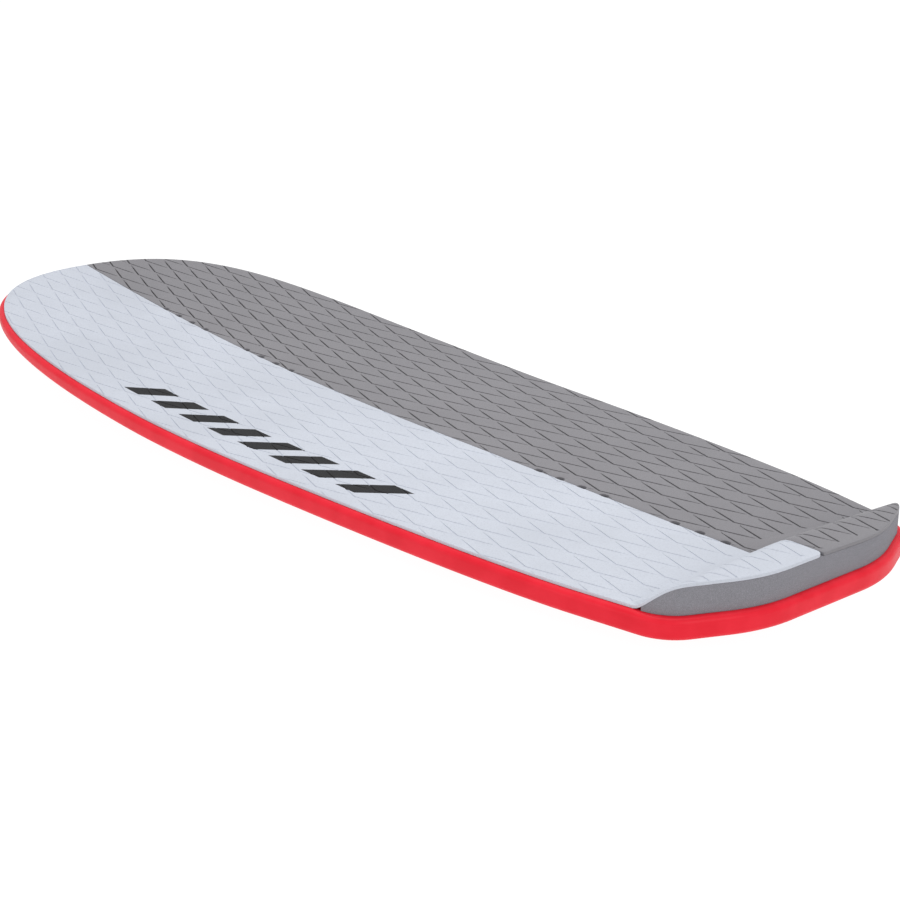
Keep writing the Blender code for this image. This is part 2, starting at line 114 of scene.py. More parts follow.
EDGE_ROUND, EDGE_RINGS = 0.0007, (0.3, 1.0)     # cut edge of the pad, and where it bends
CUT_CLEAR = 1.05                                # grooves start past this many edge radii
WEDGE_EDGE, WEDGE_RINGS = 0.0004, (0.4, 1.0)
WEDGE_THIN_EDGE = 0.001
SEAM_GAP = 0.0002           # from the seam line to each sheet
SEAM_MIDDLE_Y, SEAM_SKEW = -0.0015, -0.0036    # the seam line drifts sideways along the board
AFT_CORNER_ROUND, AFT_CORNER_CLEAR = 0.007, 0.001    # the white sheet's corner at mid tail

# shallow bites out of each sheet's inner edge, in groups along the seam, none under the kick
BITE_GROUPS = (-0.432, -0.2475, 0.273, 0.4575)
BITES_IN_GROUP, BITE_SPACING, BITE_LENGTH = 4, 0.0308, 0.011
WHITE_BITE, GREY_BITE = 0.0008, 0.0050
BITE_POINTS, BITE_BLUNTNESS = 9, 0.7
BITES = [start + i * BITE_SPACING for start in BITE_GROUPS for i in range(BITES_IN_GROUP)
         if start + i * BITE_SPACING < KICK_FOOT_X - BITE_LENGTH]

# print on the white half: slanted bars
GRAPHIC_START_X, GRAPHIC_RUN = -0.213, 0.425
GRAPHIC_BARS, GRAPHIC_WIDTH, GRAPHIC_GAP, GRAPHIC_SLANT = 8, 0.031, 0.0245, 0.95
GRAPHIC_OUTER, GRAPHIC_INNER = (-0.188, -0.180), (-0.154, -0.137)    # at its two ends

# spacing of mesh points
OUTLINE_STEP, SEAM_STEP, FACE_STEP, KICK_STEP, BOTTOM_STEP = 0.004, 0.006, 0.008, 0.0025, 0.02
KICK_RUN_UP = 0.012         # the closer points start this far ahead of the kick's foot
FACE_MARGIN = 0.0015        # points of the face stay this far inside the grooved area
NOSE_POINTS, FLANK_POINTS, CORNER_POINTS, AFT_CORNER_POINTS = 160, 120, 30, 8
RAIL_TOP_POINTS, RAIL_UNDER_POINTS = 9, 8
SLOT_END_POINTS, VENT_HOLE_POINTS = 15, 40
TOP_LINE_POINTS, TOP_LINE_LEAD = 1400, 0.05
RISE_POINTS, FRONT_POINTS = 300, 41     # up the kick, and along the wedge's thin front edge
MERGE = 0.000005            # points closer than this are one
ROUNDING, TOUCH = 0.000001, 0.0000001    # smallest lengths: past the last groove, and for lines
EDGE_HALVINGS = 10          # to find where a groove meets the pad's edge
FAR_CORNERS = ((-3.0, -3.0), (3.0, -3.0), (3.0, 3.0), (-3.0, 3.0))    # keep slivers off the edges

# foam colours: the face, and the painted shade on the floor of a groove
WHITE_FOAM_AND_GROOVE_SHADE = (0.558, 0.587, 0.645), (0.485, 0.515, 0.58)
BLACK_PRINT_AND_GROOVE_SHADE = (0.012, 0.012, 0.013), (0.006, 0.006, 0.006)
GREY_FOAM_AND_GROOVE_SHADE = (0.214, 0.208, 0.221), (0.020, 0.020, 0.023)

# studio; each light has a name, a place, where it points, its width and its watts
FLOOR_SIZE, FLOOR_DROP = 30.0, -0.0002
FLOOR_SHADE, FLOOR_GLOW = 0.12, 0.97
WORLD_STRENGTH, WORLD_COLOUR = 0.69, (0.98, 0.98, 1.0)
LIGHTS = (("overhead", (0.2, 0.3, 2.4), (0.1, 0.0, 0.0), 1.8, 30.0),
          ("tail_side", (2.7, -0.4, 1.1), (0.3, 0.0, 0.0), 1.2, 12.0),
          ("rail_side", (-0.3, -2.7, 1.1), (-0.1, 0.0, 0.0), 1.4, 9.0))


# ---------------------------------------------------------------- camera
CAMERA_PLACE = Vector((1.4667, -1.1246, 0.6297))
CAMERA_AZIMUTH, CAMERA_ELEVATION, CAMERA_ROLL = 49.823, 19.119, 0.184
LENS, SENSOR = 69.97, 36.0


def place_camera():
    az, el = math.radians(CAMERA_AZIMUTH), math.radians(CAMERA_ELEVATION)
    looking = Vector((-math.sin(az) * math.cos(el), math.cos(az) * math.cos(el), -math.sin(el)))
    data = bpy.data.cameras.new("camera")
    data.lens, data.sensor_width = LENS, SENSOR
    data.dof.use_dof = False
    data.clip_start, data.clip_end = 0.05, 60.0
    camera = bpy.data.objects.new("camera", data)
    turn = looking.to_track_quat('-Z', 'Y').to_matrix().to_4x4()
    roll = Matrix.Rotation(math.radians(CAMERA_ROLL), 4, 'Z')
    camera.matrix_world = Matrix.Translation(CAMERA_PLACE) @ turn @ roll
    bpy.context.scene.collection.objects.link(camera)
    bpy.context.scene.camera = camera


# ---------------------------------------------------------------- materials
class Value:
    """A number that varies over a surface, ready for sums."""

    def __init__(self, finish, socket):
        self.finish, self.socket = finish, socket

    def _sum(self, operation, first, second):
        return self.finish.node('ShaderNodeMath', {"operation": operation},
                                {0: first, 1: second})

    def __add__(self, other):
        return self._sum('ADD', self, other)

    def __sub__(self, other):
        return self._sum('SUBTRACT', self, other)

    def __rsub__(self, other):
        return self._sum('SUBTRACT', other, self)

    def __mul__(self, other):
        return self._sum('MULTIPLY', self, other)

    __radd__, __rmul__ = __add__, __mul__

    def over(self, low, high):
        """0 below low, 1 above high, smooth between."""
        return self.finish.node('ShaderNodeMapRange', {"interpolation_type": 'SMOOTHSTEP'},
                                {0: self, 1: low, 2: high})


class Finish:
    """One material with a single Principled shader."""

    def __init__(self, name, **constants):
        self.material = bpy.data.materials.new(name)
        self.material.use_nodes = True
        self.tree = self.material.node_tree
        self.shader = self.tree.nodes["Principled BSDF"]
        for socket, value in constants.items():
            name = socket.replace("_", " ").title().replace("Ior", "IOR")
            self.shader.inputs[name].default_value = value
        self.place = self.node('ShaderNodeTexCoord', {}, {}, "Object")

    def node(self, kind, settings, sockets, output=0):
        made = self.tree.nodes.new(kind)
        for key, value in settings.items():
            setattr(made, key, value)
        for key, value in sockets.items():
            if isinstance(value, Value):
                self.tree.links.new(value.socket, made.inputs[key])
            else:
                made.inputs[key].default_value = value
        return Value(self, made.outputs[output])

    def noise(self, scale, detail=2.0, roughness=0.5, place=None):
        return self.node('ShaderNodeTexNoise', {}, {
            "Vector": place or self.place, "Scale": scale, "Detail": detail,
            "Roughness": roughness})

    def cells(self, scale):
        return self.node('ShaderNodeTexVoronoi', {}, {"Vector": self.place, "Scale": scale})

    def stretched(self, stretch):
        return self.node('ShaderNodeVectorMath', {"operation": 'MULTIPLY'},
                         {0: self.place, 1: stretch})

    def marked(self, attribute):
        """How strongly the mesh is marked here, from 0 to 1."""
        return self.node('ShaderNodeAttribute', {"attribute_name": attribute}, {}, "Fac")

    def mixed(self, share, first, second):
        return self.node('ShaderNodeMix', {"data_type": 'RGBA'},
                         {0: share, 6: first, 7: second}, output=2)

    def feed(self, socket, value):
        self.tree.links.new(value.socket, self.shader.inputs[socket])

    def bump(self, height, distance, strength=1.0):
        self.feed("Normal", self.node('ShaderNodeBump', {}, {
            "Height": height, "Distance": distance, "Strength": strength}))


def rgba(red, green, blue):
    return (red, green, blue, 1.0)


def eva_finish(name, face, groove_cut_and_shade, roughness, sheen):
    """Soft closed-cell foam: fine pores, faint mottling, and a darker colour on the floor of each
    groove as painted shade.
    """
    finish = Finish(name, specular_ior_level=0.2, sheen_weight=sheen, sheen_roughness=0.5)
    pores = finish.noise(2600.0, 3.0, 0.7)
    mottle = finish.noise(9.0, 3.0, 0.55)
    groove_shade_mask = finish.marked("groove_shade_mask")
    light = rgba(*(min(c * 1.035, 1.0) for c in face))
    dark = rgba(*(c * 0.955 for c in face))
    colour = finish.mixed(mottle.over(0.3, 0.7), dark, light)
    speck = rgba(*(c * 0.86 for c in face))
    colour = finish.mixed(pores.over(0.50, 0.68) * 0.6, colour, speck)
    grains = finish.noise(620.0, 2.0, 0.8)
    colour = finish.mixed(grains.over(0.48, 0.66) * 0.7, colour, speck)
    # painted shade: the groove floors take a darker colour in place of the shade inside each cut
    colour = finish.mixed(groove_shade_mask, colour, rgba(*groove_cut_and_shade))
    finish.feed("Base Color", colour)
    finish.feed("Roughness", roughness + (pores - 0.5) * 0.16)
    finish.bump(pores + mottle * 0.6, 0.00012)
    return finish.material


def wedge_finish():
    """Cut face of the foam wedge: open cells and faint knife lines along the tail."""
    finish = Finish("wedge_eva_cut", specular_ior_level=0.2)
    cells = finish.noise(1900.0, 3.0, 0.7)
    lines = finish.noise(60.0, 2.0, 0.5, finish.stretched((1.0, 1.0, 16.0)))
    colour = finish.mixed(cells.over(0.38, 0.66), rgba(0.175, 0.173, 0.190),
                          rgba(0.290, 0.286, 0.310))
    colour = finish.mixed(lines.over(0.45, 0.75) * 0.35, colour, rgba(0.190, 0.188, 0.206))
    finish.feed("Base Color", colour)
    finish.feed("Roughness", 0.78 + (cells - 0.5) * 0.2)
    finish.bump(cells + lines * 0.5, 0.00018)
    return finish.material


def paint_finish():
    """Satin red paint over fibreglass, slightly uneven, with a thin clear coat."""
    finish = Finish("satin_red_paint", coat_roughness=0.25, specular_ior_level=0.14)
    flow = finish.noise(38.0, 3.0, 0.5)
    grit = finish.noise(1500.0, 2.0, 0.6)
    colour = finish.mixed(flow.over(0.3, 0.7), rgba(0.720, 0.011, 0.026),
                          rgba(0.780, 0.017, 0.035))
    finish.feed("Base Color", colour)
    finish.feed("Roughness", 0.36 + flow * 0.10 + grit * 0.04)
    finish.feed("Coat Weight", 0.03 + flow * 0.04)
    finish.bump(flow * 0.8 + grit * 0.15, 0.00010)
    return finish.material


def laminate_finish():
    # near-black so that the deck seen through the bites in the pad's seam gives painted shade
    # there; the weave is the laminate's own
    finish = Finish("glass_laminate", coat_roughness=0.2)
    along = finish.node('ShaderNodeTexWave', {"bands_direction": 'X'},
                        {"Vector": finish.place, "Scale": 320.0})
    across = finish.node('ShaderNodeTexWave', {"bands_direction": 'Y'},
                         {"Vector": finish.place, "Scale": 320.0})
    weave = along * across
    finish.feed("Base Color", finish.mixed(weave, rgba(0.022, 0.022, 0.024),
                                           rgba(0.048, 0.048, 0.052)))
    finish.feed("Roughness", 0.42 + weave * 0.12)
    finish.bump(weave, 0.0002)
    return finish.material


def bead_foam_finish(name, dark, light, beads):
    finish = Finish(name, specular_ior_level=0.3)
    bead = finish.cells(beads)
    finish.feed("Base Color", finish.mixed(bead.over(0.1, 0.7), rgba(*light), rgba(*dark)))
    finish.feed("Roughness", 0.82 + bead * 0.1)
    finish.bump(1.0 - bead, 0.0006)
    return finish.material


def wood_finish():
    finish = Finish("paulownia")
    grain = finish.noise(30.0, 4.0, 0.6, finish.stretched((0.7, 12.0, 12.0)))
    finish.feed("Base Color", finish.mixed(grain.over(0.35, 0.65), rgba(0.68, 0.51, 0.31),
                                           rgba(0.50, 0.34, 0.18)))
    finish.feed("Roughness", 0.55 + grain * 0.15)
    finish.bump(grain, 0.0002)
    return finish.material


def moulded_finish():
    finish = Finish("glass_filled_nylon", specular_ior_level=0.45)
    grain = finish.noise(1400.0, 3.0, 0.6)
    streak = finish.noise(40.0, 2.0, 0.5, finish.stretched((0.4, 3.0, 3.0)))
    finish.feed("Base Color", finish.mixed(streak, rgba(0.020, 0.020, 0.022),
                                           rgba(0.040, 0.040, 0.043)))
    finish.feed("Roughness", 0.42 + grain * 0.16)
    finish.bump(grain, 0.00012)
    return finish.material


def steel_finish():
    finish = Finish("turned_stainless", metallic=1.0)
    brushed = finish.noise(500.0, 3.0, 0.6, finish.stretched((0.1, 1.0, 1.0)))
    finish.feed("Base Color", finish.mixed(brushed, rgba(0.52, 0.52, 0.53),
                                           rgba(0.66, 0.66, 0.66)))
    finish.feed("Roughness", 0.24 + brushed * 0.16)
    finish.bump(brushed, 0.00005)
    return finish.material


def rubber_finish():
    finish = Finish("nitrile", specular_ior_level=0.4)
    skin = finish.noise(1200.0, 2.0, 0.6)
    finish.feed("Base Color", finish.mixed(skin, rgba(0.012, 0.012, 0.012),
                                           rgba(0.030, 0.030, 0.030)))
    finish.feed("Roughness", 0.55 + skin * 0.15)
    finish.bump(skin, 0.00005)
    return finish.material


def membrane_finish():
    finish = Finish("expanded_membrane")
    fibres = finish.noise(2200.0, 4.0, 0.7)
    finish.feed("Base Color", finish.mixed(fibres, rgba(0.72, 0.72, 0.70),
                                           rgba(0.86, 0.86, 0.85)))
    finish.feed("Roughness", 0.75 + fibres * 0.15)
    finish.bump(fibres, 0.0001)
    return finish.material


# ---------------------------------------------------------------- heights of the board
def deck_z(x):
    return HULL_DEPTH + DECK_ROCKER * np.maximum(DECK_ROCKER_X - x, 0.0) ** 2


def bottom_z(x):
    return BOTTOM_ROCKER * np.maximum(BOTTOM_ROCKER_X - x, 0.0) ** BOTTOM_ROCKER_POWER


def rail_depth(x):
    from_tail = (BOARD_HALF_LENGTH - x) / (2 * BOARD_HALF_LENGTH)
    return RAIL_DEPTH_TAIL - RAIL_DEPTH_LOSS * from_tail ** 3


def kick_height(x, y):
    """Height of the pad's top over its flat; the kick stands a little lower to starboard."""
    past_foot = x - KICK_FOOT_X - KICK_FOOT_CURVE * y ** 2 - KICK_FOOT_SKEW * y
    along = np.clip(past_foot / (KICK_CREST_X - KICK_FOOT_X), 0.0, 1.0)
    full = KICK_HEIGHT - KICK_STARBOARD_LOSS * np.maximum(y, 0.0)
    return full * np.sin(math.pi / 2 * along) ** KICK_FOOT_POWER


def pad_top_z(x, y):
    return deck_z(x) + GAP + PAD_SHEET + kick_height(x, y)


class TopLine:
    """The pad's top from nose to tail, which the grooves are spaced along."""

    def __init__(self):
        self.x = np.linspace(PAD_NOSE_X - TOP_LINE_LEAD, PAD_TAIL_X, TOP_LINE_POINTS)
        steps = np.hypot(np.diff(self.x), np.diff(pad_top_z(self.x, 0.0)))
        self.along = np.concatenate(([0.0], np.cumsum(steps)))
        self.along -= np.interp(GROOVE_START_X, self.x, self.along)

    def x_at(self, along):
        return np.interp(along, self.along, self.x)

    def along_at(self, x):
        return np.interp(x, self.x, self.along)


# ---------------------------------------------------------------- plan outline
def bezier(start, pull_out, pull_in, end, count):
    t = np.linspace(0.0, 1.0, count)[:, None]
    start, pull_out, pull_in, end = map(np.array, (start, pull_out, pull_in, end))
    return ((1 - t) ** 3 * start + 3 * t * (1 - t) ** 2 * pull_out
            + 3 * t ** 2 * (1 - t) * pull_in + t ** 3 * end)


def rounded_corner(before, corner, after, radius, count):
    """Arc that rounds a corner between two straight directions."""
    before, corner, after = (Vector(p) for p in (before, corner, after))
    back, ahead = (before - corner).normalized(), (after - corner).normalized()
    half = back.angle(ahead) / 2
    reach = radius / math.tan(half)
    centre = corner + (back + ahead).normalized() * radius / math.sin(half)
    start, end = corner + back * reach - centre, corner + ahead * reach - centre
    turns = np.linspace(0.0, -start.angle_signed(end), count)
    return np.array([(centre.x + start.x * math.cos(t) - start.y * math.sin(t),
                      centre.y + start.x * math.sin(t) + start.y * math.cos(t)) for t in turns])


def evenly(points, step):
    """The same line with its points an even distance apart."""
    points = np.asarray(points, float)
    along = np.concatenate(([0.0], np.cumsum(np.hypot(*np.diff(points, axis=0).T))))
    places = np.linspace(0.0, along[-1], max(int(along[-1] / step), 1) + 1)
    return np.column_stack([np.interp(places, along, points[:, i]) for i in (0, 1)])


def pad_half_outline():
    """Starboard edge of the pad, from the nose to the middle of the tail edge."""
    x0, tail = PAD_NOSE_X, (PAD_TAIL_X, TAIL_HALF_WIDTH)
    widest = (x0 + WIDEST_FROM_NOSE, PAD_HALF_WIDTH)
    shoulder = (x0 + SHOULDER_FROM_NOSE, SHOULDER_HALF_WIDTH)
    corner = (x0 + CORNER_FROM_NOSE, CORNER_HALF_WIDTH)
    nose = bezier((x0, 0.0), (x0, NOSE_BLUNTNESS), (widest[0] - NOSE_REACH, PAD_HALF_WIDTH),
                  widest, NOSE_POINTS)
    flank = bezier(widest, (widest[0] + FLANK_REACH, PAD_HALF_WIDTH),
                   (shoulder[0] - SHOULDER_PULL, shoulder[1] + SHOULDER_SLOPE * SHOULDER_PULL),
                   shoulder, FLANK_POINTS)
    cut_corner = rounded_corner(shoulder, corner, tail, CORNER_RADIUS, CORNER_POINTS)
    tail_corner = rounded_corner(corner, tail, (PAD_TAIL_X, 0.0), TAIL_RADIUS, CORNER_POINTS)
    edge = np.vstack([nose, flank[1:], cut_corner, tail_corner, [(PAD_TAIL_X, 0.0)]])
    return evenly(edge, OUTLINE_STEP)


def drawn_forward(half):
    """The half outline with its nose pulled forward, nearly to the end of the rail."""
    share = np.clip((NOSE_DRAW_FROM - half[:, 0]) / (NOSE_DRAW_FROM - PAD_NOSE_X), 0.0, 1.0)
    return half - np.column_stack([NOSE_DRAW * share ** 2, np.zeros(len(half))])


def offset_half(half, distance):
    """Half outline moved outward, or inward where the distance is negative."""
    mirrored = np.vstack([[half[1] * (1, -1)], half, [half[-2] * (1, -1)]])
    along = mirrored[2:] - mirrored[:-2]
    along /= np.hypot(*along.T)[:, None]
    moved = half + np.column_stack([-along[:, 1], along[:, 0]]) * distance
    moved[:, 1] = np.maximum(moved[:, 1], 0.0)
    return moved


def shrunk_half(half, distance):
    """Half outline scaled towards the board's centre by the same distance at each end."""
    return half * (1 - distance / BOARD_HALF_LENGTH,
                   1 - distance / (PAD_HALF_WIDTH + RAIL_LIP))


def full_loop(half):
    """Both halves of an outline as one loop, counter-clockwise."""
    return np.vstack([half[1:-1] * (1, -1), half[:0:-1], half[:1]])


# ---------------------------------------------------------------- mesh helpers
def add_piece(name, bm, body, finishes, stands_for=(), sharp_above=30.0):
    """Turn a bmesh into a shaded piece that rides on a body of the frame."""
    bmesh.ops.recalc_face_normals(bm, faces=bm.faces)
    mesh = bpy.data.meshes.new(name)
    bm.to_mesh(mesh)
    bm.free()
    for finish in finishes:
        mesh.materials.append(finish)
    mesh.shade_smooth()
    mesh.set_sharp_from_angle(angle=math.radians(sharp_above))
    obj = bpy.data.objects.new(name, mesh)
    bpy.context.scene.collection.objects.link(obj)
    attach(obj, body)
    if stands_for:
        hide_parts(*stands_for)
    return obj


def closed(loop):
    """The loop with its first point again at the end."""
    return np.vstack([loop, loop[:1]])


def triangulated(loop, inner_points=(), lines=(), holes=()):
    """Flat triangles inside a loop whose edges follow the given lines.

    Returns the points as an array, and the triangles.
    """
    points = [Vector(p) for p in loop]
    edges = [(i, (i + 1) % len(loop)) for i in range(len(loop))]
    for line in list(lines) + [closed(hole) for hole in holes]:
        first = len(points)
        points += [Vector(p) for p in line]
        edges += [(first + i, first + i + 1) for i in range(len(line) - 1)]
    points += [Vector(p) for p in inner_points]
    points += [Vector(p) for p in FAR_CORNERS]
    made, _, triangles, *_ = geometry.delaunay_2d_cdt(points, edges, [], 0, TOUCH, False)
    places = np.array([(p.x, p.y) for p in made])
    triangles = np.array([t for t in triangles if len(t) == 3])
    middles = places[triangles].mean(axis=1)
    kept = inside(middles, loop)
    for hole in holes:
        kept &= ~inside(middles, hole)
    return places, triangles[kept]


def inside(points, loop):
    """Which points lie inside a loop."""
    within = np.zeros(len(points), bool)
    px, py = points[:, 0], points[:, 1]
    for (x1, y1), (x2, y2) in zip(loop, np.roll(loop, -1, axis=0)):
        if y1 != y2:
            crosses = ((y1 > py) != (y2 > py)) & (px < (x2 - x1) * (py - y1) / (y2 - y1) + x1)
            within ^= crosses
    return within


def add_surface(bm, places, triangles, heights):
    """Put flat triangles into a bmesh at the given heights; unused points are left out."""
    used = np.unique(triangles)
    verts = {i: bm.verts.new((places[i, 0], places[i, 1], heights[i])) for i in used}
    faces = []
    for a, b, c in triangles:
        faces.append(bm.faces.new((verts[a], verts[b], verts[c])))
    return verts, faces


def join_loops(bm, first, second):
    for i in range(len(first)):
        j = (i + 1) % len(first)
        bm.faces.new((first[i], first[j], second[j], second[i]))


def loop_at(bm, points, heights):
    return [bm.verts.new((x, y, z)) for (x, y), z in zip(points, heights)]


def close_below(bm, loop, edge_z, under_z):
    """The underside of a sheet, and the wall down to it from the sheet's edge."""
    places, triangles = triangulated(loop)
    add_surface(bm, places, triangles, under_z(*places.T))
    join_loops(bm, loop_at(bm, loop, edge_z), loop_at(bm, loop, under_z(*loop.T)))
    bmesh.ops.remove_doubles(bm, verts=bm.verts, dist=MERGE)


def edge_rings(loop, radius, shares):
    """Lines inside a loop that a rounded edge bends along."""
    return [closed(inset_loop(loop, radius * share)) for share in shares]


def edge_drop(rim, radius):
    """How far a rounded edge lies below the face, at each distance from the rim."""
    short = np.maximum(radius - rim, 0.0)
    return radius - np.sqrt(np.maximum(radius ** 2 - short ** 2, 0.0))


# ---------------------------------------------------------------- grooves of the deck
def last_with_room(start, goal, room):
    """The last place with room on the way from start, which has room, to goal, which has none."""
    for _ in range(EDGE_HALVINGS):
        middle = (start + goal) / 2
        start, goal = (middle, goal) if room(middle) > 0 else (start, middle)
    return start


class Grooves:
    """Cuts on a diamond lattice: each bends at a lattice point and has two tapering arms."""

    def __init__(self, width, depth):
        self.width, self.full_depth = width, depth
        self.top_line = TopLine()
        self.last = self.top_line.along_at(PAD_TAIL_X) - GROOVE_END_MARGIN

    def bend(self, row, column):
        return GROOVE_REACH * row, GROOVE_PITCH * (column - row / 2 + GROOVE_SHIFT)

    def lines(self, margin):
        """Edge and floor lines of every cut where margin(x, y) is above zero."""
        found = []
        first_row = int(self.top_line.along_at(PAD_NOSE_X) / GROOVE_REACH) - 1
        reach = int(PAD_HALF_WIDTH / GROOVE_PITCH) + 2
        for row in range(first_row, int(self.last / GROOVE_REACH) + 2):
            for column in range(row // 2 - reach, row // 2 + reach + 1):
                bend = np.array(self.bend(row, column))
                if abs(bend[1]) < PAD_HALF_WIDTH + GROOVE_PITCH:
                    found += self.cut_lines(bend, margin)
        return found

    def cut_lines(self, bend, margin):
        arms = [bend + np.array((way * GROOVE_REACH, GROOVE_PITCH / 2)) * share
                for way, share in ((-1, ARM_TO_NOSE), (1, ARM_TO_TAIL))]
        spread = np.linspace(0.0, 1.0, ARM_STEPS + 1)[:, None]
        centre = np.vstack([arms[0] + (bend - arms[0]) * spread,
                            bend + (arms[1] - bend) * spread[1:]])
        along = np.gradient(centre, axis=0)
        along /= np.hypot(*along.T)[:, None]
        across = np.column_stack([-along[:, 1], along[:, 0]])
        from_end = np.minimum(np.arange(len(centre)), np.arange(len(centre))[::-1])
        taper = np.clip(from_end / ARM_TAPER_STEPS, ARM_TIP_SHARE, 1.0)[:, None]
        lines = []
        for share in (-1.0, -GROOVE_FLOOR, GROOVE_FLOOR, 1.0):
            line = centre + across * taper * share * self.width / 2
            lines += self.clipped(line, margin)
        return lines

    def clipped(self, line, margin):
        """The stretches of a line that lie on the pad, as (x, y) points."""
        def room(point):
            return min(margin(*self.place(point)), self.last - point[0])

        stretches, current = [], []
        for before, here in zip(line, line[1:]):
            was_in, is_in = room(before) > 0, room(here) > 0
            if was_in and not current:
                current = [before]
            if was_in and is_in:
                current.append(here)
            elif is_in:
                current = [last_with_room(here, before, room), here]
            elif was_in:
                stretches.append(current + [last_with_room(before, here, room)])
                current = []
        if len(current) > 1:
            stretches.append(current)
        return [np.array([self.place(point) for point in s]) for s in stretches]

    def place(self, point):
        """Where a point of the pattern lies on the board."""
        x = self.top_line.x_at(point[0])
        return x, point[1] + GROOVE_SKEW * x

    def depth(self, x, y):
        """Share of the full depth at each place, from 0 on the pad's face to 1 on a floor."""
        along = self.top_line.along_at(x)
        y = y - GROOVE_SKEW * x
        deepest = np.zeros(len(x))
        for row_step in (-1, 0, 1):
            row = np.round(along / GROOVE_REACH) + row_step
            nearest = np.round(y / GROOVE_PITCH + row / 2 - GROOVE_SHIFT)
            for column_step in (-1, 0, 1):
                bend_along, bend_y = self.bend(row, nearest + column_step)
                for way, share in ((-1, ARM_TO_NOSE), (1, ARM_TO_TAIL)):
                    run = np.array((way * GROOVE_REACH, GROOVE_PITCH / 2)) * share
                    length = math.hypot(*run)
                    u, v = along - bend_along, y - bend_y
                    ahead = (u * run[0] + v * run[1]) / length ** 2
                    aside = abs(u * run[1] - v * run[0]) / length
                    taper = np.clip((1 - ahead) * ARM_STEPS / ARM_TAPER_STEPS, ARM_TIP_SHARE, 1.0)
                    edge = self.width / 2 * taper
                    wall = np.clip((edge * (1 - GROOVE_SLACK) - aside)
                                   / (edge * (1 - 2 * GROOVE_SLACK - GROOVE_FLOOR)), 0, 1)
                    on_arm = (ahead > -BEND_OVERLAP) & (ahead <= 1.0)
                    deepest = np.maximum(deepest, wall * on_arm * taper)
        return deepest * (along <= self.last + ROUNDING)


# ---------------------------------------------------------------- deck pad
def seam_y(x):
    return SEAM_MIDDLE_Y + SEAM_SKEW * x


def seam_line(side, bite):
    """The pad's inner edge from tail to nose, with small bites where the two sheets meet."""
    line = [(PAD_TAIL_X, SEAM_GAP)]
    for centre in reversed(BITES):
        for turn in np.linspace(0.0, math.pi, BITE_POINTS):
            line.append((centre + BITE_LENGTH / 2 * math.cos(turn),
                         SEAM_GAP + bite * math.sin(turn) ** BITE_BLUNTNESS))
    line.append((PAD_NOSE_X - NOSE_DRAW + SEAM_GAP, SEAM_GAP))
    line = np.array(line) * (1, side)
    line[:, 1] += seam_y(line[:, 0])
    return filled(line, SEAM_STEP)


def filled(line, step):
    """The same line with points added so that none are further apart than step."""
    points = []
    for a, b in zip(line, line[1:]):
        count = max(int(math.ceil(np.hypot(*(b - a)) / step)), 1)
        points += [a + (b - a) * i / count for i in range(count)]
    return np.array(points + [line[-1]])


def pad_loop(half, side, bite, aft_round):
    """Edge of one half of the pad, counter-clockwise seen from above for the starboard half."""
    outline = full_loop(half)
    ours = side * (outline[:, 1] - seam_y(outline[:, 0])) > SEAM_GAP * 2
    start = int(np.argmax(ours & ~np.roll(ours, 1)))
    outer = np.roll(outline, -start, axis=0)[np.roll(ours, -start)][::-side]
    seam = seam_line(side, bite)
    if aft_round:
        corner = (PAD_TAIL_X, seam_y(PAD_TAIL_X) + side * SEAM_GAP)
        arc = rounded_corner((PAD_TAIL_X, side), corner, (0.0, corner[1]), aft_round,
                             AFT_CORNER_POINTS)
        clear = abs(outer[:, 1] - corner[1]) > aft_round + AFT_CORNER_CLEAR
        outer = outer[(outer[:, 0] < PAD_TAIL_X - aft_round) | clear]
        seam = np.vstack([arc, seam[seam[:, 0] < PAD_TAIL_X - aft_round - AFT_CORNER_CLEAR]])
    loop = np.vstack([outer, seam])
    return loop if side < 0 else loop[::-1]


def inset_loop(loop, distance):
    """A closed loop moved inward."""
    along = np.roll(loop, -1, axis=0) - np.roll(loop, 1, axis=0)
    along /= np.hypot(*along.T)[:, None]
    turned = np.column_stack([-along[:, 1], along[:, 0]])
    area = np.sum(loop[:, 0] * np.roll(loop[:, 1], -1) - np.roll(loop[:, 0], -1) * loop[:, 1])
    return loop + turned * distance * np.sign(area)


def distance_to(loop, x, y):
    """Distance from each place to a closed loop."""
    nearest = np.full(len(x), 1.0)
    for (ax, ay), (bx, by) in zip(loop, np.roll(loop, -1, axis=0)):
        dx, dy = bx - ax, by - ay
        share = np.clip(((x - ax) * dx + (y - ay) * dy) / (dx * dx + dy * dy), 0.0, 1.0)
        nearest = np.minimum(nearest, np.hypot(x - ax - share * dx, y - ay - share * dy))
    return np.where(nearest < MERGE, 0.0, nearest)


def face_points(side, margin):
    """Points over the face of the pad: wide apart on the flat, close along the kick."""
    flat_end = KICK_FOOT_X - KICK_RUN_UP
    xs = np.concatenate([np.arange(PAD_NOSE_X - NOSE_DRAW, flat_end, FACE_STEP),
                         np.arange(flat_end, PAD_TAIL_X, KICK_STEP)])
    ys = np.arange(-FACE_STEP / 2, PAD_HALF_WIDTH, FACE_STEP) * side
    return np.array([(x, y) for x in xs for y in ys if margin(x, y) > FACE_MARGIN])


def graphic_bars():
    """Slanted bars along the outer side of the white half, as closed loops."""
    bars = []
    for i in range(GRAPHIC_BARS):
        along = i * (GRAPHIC_WIDTH + GRAPHIC_GAP)
        x, far_x = GRAPHIC_START_X + along, GRAPHIC_START_X + along + GRAPHIC_WIDTH
        outer, inner = (np.interp(along, (0.0, GRAPHIC_RUN), ends)
                        for ends in (GRAPHIC_OUTER, GRAPHIC_INNER))
        slant = (inner - outer) * GRAPHIC_SLANT
        bars.append(np.array([(x, outer), (far_x, outer), (far_x + slant, inner),
                              (x + slant, inner)]))
    return bars


